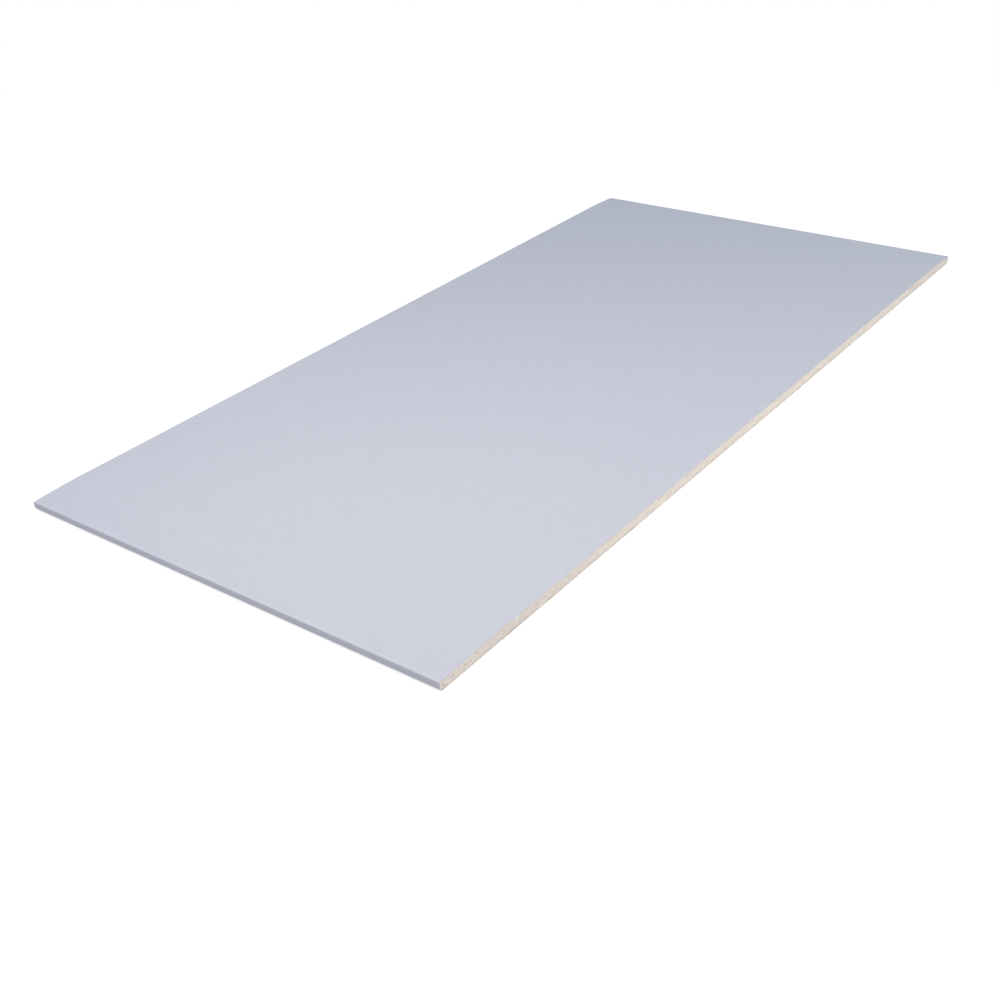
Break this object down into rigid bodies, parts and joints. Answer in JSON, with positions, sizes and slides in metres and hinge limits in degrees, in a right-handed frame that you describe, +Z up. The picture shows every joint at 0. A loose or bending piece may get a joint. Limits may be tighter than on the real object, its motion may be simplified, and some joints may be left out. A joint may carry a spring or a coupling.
{
  "type": "drywall sheet",
  "caption": "Flat rectangular sheet of gypsum board: gypsum core between a face paper wrapped round the tapered bound edges and a kraft back paper, for lining walls and ceilings.",
  "frame": {"origin": "middle of the sheet's underside, on the outside of the back paper", "axes": "+X from one paper-bound edge to the other, +Y from one cut side to the other, +Z up out of the face"},
  "size_m": [1.2, 0.6, 0.0125],
  "materials": {
    "gypsum": "matte",
    "face_paper": "matte",
    "back_paper": "matte"
  },
  "bodies": {
    "root": {"gypsum_core": "gypsum", "face_paper": "face_paper", "back_paper": "back_paper"}
  },
  "joints": []
}
